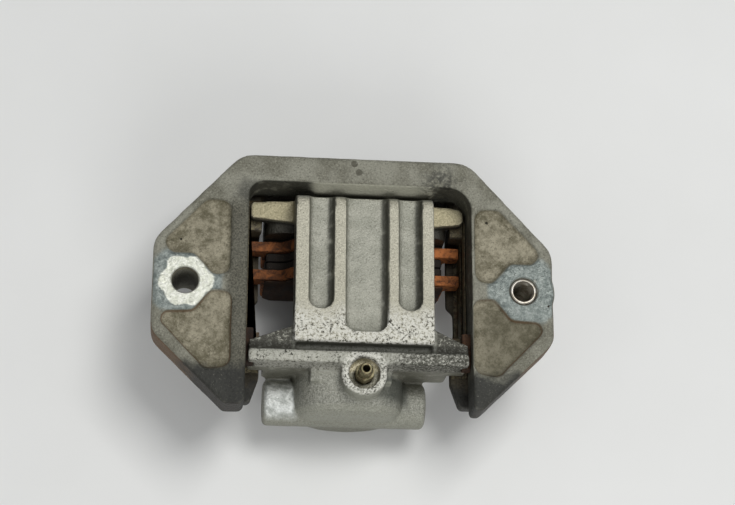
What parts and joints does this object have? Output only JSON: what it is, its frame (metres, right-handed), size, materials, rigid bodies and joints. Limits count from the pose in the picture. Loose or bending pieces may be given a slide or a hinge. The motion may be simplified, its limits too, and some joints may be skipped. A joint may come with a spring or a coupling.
{
  "type": "floating disc brake caliper",
  "caption": "Floating disc brake caliper: octagonal bracket frame around a grooved sliding body with a piston, pads and a bleeder.",
  "frame": {"origin": "middle of the bounding box at rest, which in X is midway between the two mounting holes", "axes": "+X from the left ear to the right ear, +Y outboard along the disc's axle, +Z radially outwards from the axle"},
  "size_m": [0.187, 0.1206, 0.067],
  "materials": {
    "dull_casting": "sand-cast, stained and oily",
    "bright_casting": "sand-cast, lightly corroded",
    "plated_steel": "worn plating",
    "sheet_steel": "stained spring sheet",
    "rusty_steel": "rusted",
    "friction_lining": "coarse friction compound",
    "black_rubber": "dull rubber"
  },
  "bodies": {
    "bracket": {"mounting_bracket": "dull_casting", "thread_insert": "plated_steel", "slide_liner_left": "sheet_steel", "slide_liner_right": "sheet_steel", "support_key_left": "rusty_steel", "support_key_right": "rusty_steel", "abutment_clip_inner_left": "sheet_steel", "abutment_clip_inner_right": "sheet_steel", "abutment_clip_outer_left": "sheet_steel", "abutment_clip_outer_right": "sheet_steel"},
    "body": {"caliper_body": "bright_casting", "piston_seal": "black_rubber", "dust_boot": "black_rubber", "boot_ring": "plated_steel", "outer_pad_plate": "rusty_steel", "outer_pad_lining": "friction_lining", "outer_pad_shim": "sheet_steel"},
    "piston_and_inner_pad": {"piston": "plated_steel", "inner_pad_plate": "rusty_steel", "inner_pad_lining": "friction_lining", "inner_pad_shim": "sheet_steel", "inner_pad_spring": "sheet_steel"},
    "bleeder": {"bleeder_screw": "plated_steel"}
  },
  "joints": [
    {"name": "body_slide", "type": "slide", "parent": "bracket", "child": "body", "axis": [0, 1, 0], "range_m": [-0.009, 0.0012]},
    {"name": "piston_stroke", "type": "slide", "parent": "body", "child": "piston_and_inner_pad", "axis": [0, 1, 0], "range_m": [-0.0165, 0]},
    {"name": "bleeder_turn", "type": "hinge", "parent": "body", "child": "bleeder", "pos_m": [0.0048, -0.0429, 0.0305], "axis": [0, 0, 1], "range_deg": [0, 270]}
  ]
}
